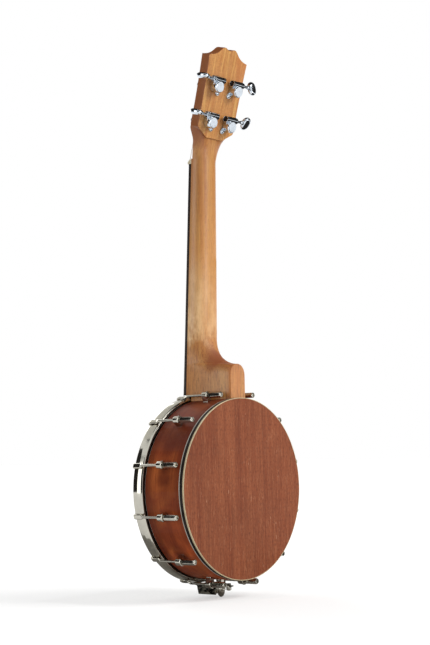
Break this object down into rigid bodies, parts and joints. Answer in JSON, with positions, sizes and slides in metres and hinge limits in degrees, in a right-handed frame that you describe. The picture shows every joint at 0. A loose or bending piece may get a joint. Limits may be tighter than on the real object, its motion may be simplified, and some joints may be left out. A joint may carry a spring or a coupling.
{
  "type": "banjo ukulele",
  "caption": "Round closed-back banjo ukulele: a wooden pot with a hooked drum head, a fretted neck with a carved heel, and a leaning headstock with worm-geared tuners.",
  "frame": {"origin": "centre of the flat back's outer face, on the pot's axis", "axes": "+Z along the neck towards the headstock, +Y out of the back, -Y out of the drum head towards the strings, +X towards the bass side's tuner buttons"},
  "size_m": [0.2198, 0.0785, 0.6286],
  "materials": {
    "mahogany_back": "flat-cut mahogany, open grain, satin",
    "rim_wood": "red-brown stain under gloss lacquer",
    "cream_binding": "cream binding, gloss",
    "black_binding": "black binding with a thin light line, gloss",
    "drum_skin": "coated polyester film, off-white",
    "chrome": "polished chrome plate",
    "nickel": "satin nickel plate",
    "neck_wood": "straight-grained okoume or mahogany, satin varnish",
    "fingerboard_wood": "dark stained hardwood, satin",
    "maple": "bare maple",
    "bone": "cream bone substitute, polished",
    "nylon": "clear nylon monofilament"
  },
  "bodies": {
    "instrument": {"rim": "rim_wood", "back_plate": "mahogany_back", "binding_cream": "cream_binding", "binding_black": "black_binding", "drum_head": "drum_skin", "flesh_hoop": "nickel", "tension_hoop": "chrome", "neck": "neck_wood", "fingerboard": "fingerboard_wood", "nut": "bone", "coordinator_rod": "nickel", "tail_nut": "chrome", "tail_bracket": "chrome", "tailpiece": "chrome", "bridge": "maple", "tension_hook_01": "chrome", "tension_hook_02": "chrome", "tension_hook_03": "chrome", "tension_hook_04": "chrome", "tension_hook_05": "chrome", "tension_hook_06": "chrome", "tension_hook_07": "chrome", "tension_hook_08": "chrome", "tension_hook_09": "chrome", "tension_hook_10": "chrome", "tension_hook_11": "chrome", "tension_hook_12": "chrome", "hook_shoe_01": "chrome", "hook_shoe_02": "chrome", "hook_shoe_03": "chrome", "hook_shoe_04": "chrome", "hook_shoe_05": "chrome", "hook_shoe_06": "chrome", "hook_shoe_07": "chrome", "hook_shoe_08": "chrome", "hook_shoe_09": "chrome", "hook_shoe_10": "chrome", "hook_shoe_11": "chrome", "hook_shoe_12": "chrome", "tuner_housing_1": "chrome", "tuner_bushing_1": "nickel", "string_1": "nylon", "tuner_housing_2": "chrome", "tuner_bushing_2": "nickel", "string_2": "nylon", "tuner_housing_3": "chrome", "tuner_bushing_3": "nickel", "string_3": "nylon", "tuner_housing_4": "chrome", "tuner_bushing_4": "nickel", "string_4": "nylon"},
    "knob_1": {"tuner_knob_1": "chrome"},
    "knob_2": {"tuner_knob_2": "chrome"},
    "knob_3": {"tuner_knob_3": "chrome"},
    "knob_4": {"tuner_knob_4": "chrome"},
    "post_1": {"tuner_post_1": "chrome"},
    "post_2": {"tuner_post_2": "chrome"},
    "post_3": {"tuner_post_3": "chrome"},
    "post_4": {"tuner_post_4": "chrome"}
  },
  "joints": [
    {"name": "knob_1_turn", "type": "hinge", "parent": "instrument", "child": "knob_1", "pos_m": [0.0432, -0.02214, 0.4258], "axis": [1, 0, 0], "continuous": true},
    {"name": "knob_2_turn", "type": "hinge", "parent": "instrument", "child": "knob_2", "pos_m": [-0.0432, -0.02214, 0.4258], "axis": [1, 0, 0], "continuous": true},
    {"name": "knob_3_turn", "type": "hinge", "parent": "instrument", "child": "knob_3", "pos_m": [0.0432, -0.01122, 0.46573], "axis": [1, 0, 0], "continuous": true},
    {"name": "knob_4_turn", "type": "hinge", "parent": "instrument", "child": "knob_4", "pos_m": [-0.0432, -0.01122, 0.46573], "axis": [1, 0, 0], "continuous": true},
    {"name": "post_1_turn", "type": "hinge", "parent": "instrument", "child": "post_1", "pos_m": [0.0167, -0.02934, 0.41958], "axis": [0, 0.9646, -0.2639], "continuous": true},
    {"name": "post_2_turn", "type": "hinge", "parent": "instrument", "child": "post_2", "pos_m": [-0.0167, -0.02934, 0.41958], "axis": [0, 0.9646, -0.2639], "continuous": true},
    {"name": "post_3_turn", "type": "hinge", "parent": "instrument", "child": "post_3", "pos_m": [0.0167, -0.01841, 0.45951], "axis": [0, 0.9646, -0.2639], "continuous": true},
    {"name": "post_4_turn", "type": "hinge", "parent": "instrument", "child": "post_4", "pos_m": [-0.0167, -0.01841, 0.45951], "axis": [0, 0.9646, -0.2639], "continuous": true}
  ],
  "couplings": [
    {"joint": "post_1_turn", "follows": "knob_1_turn", "ratio": 0.071429},
    {"joint": "post_2_turn", "follows": "knob_2_turn", "ratio": -0.071429},
    {"joint": "post_3_turn", "follows": "knob_3_turn", "ratio": 0.071429},
    {"joint": "post_4_turn", "follows": "knob_4_turn", "ratio": -0.071429}
  ]
}
